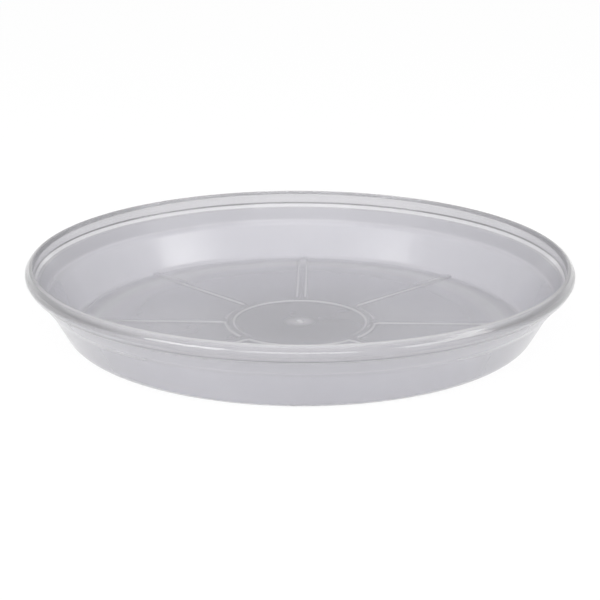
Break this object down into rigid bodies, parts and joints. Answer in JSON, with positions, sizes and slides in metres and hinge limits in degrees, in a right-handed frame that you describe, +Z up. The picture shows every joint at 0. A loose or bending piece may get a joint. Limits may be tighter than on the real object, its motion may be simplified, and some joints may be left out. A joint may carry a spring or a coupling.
{
  "type": "plant saucer",
  "caption": "Round shallow plant saucer of clear hazy plastic with a drafted stepped wall, a rounded rim bead, a low hub ring and radial ribs on its floor.",
  "frame": {"origin": "centre of the foot, on the plane that the saucer stands on", "axes": "+Z up along the saucer's axis; +X along one rib, +Y along another"},
  "size_m": [0.29, 0.29, 0.0384],
  "materials": {
    "clear_plastic": "clear but hazy moulded plastic, glossy, with a faint lavender-grey tint"
  },
  "bodies": {
    "root": {"saucer": "clear_plastic"}
  },
  "joints": []
}
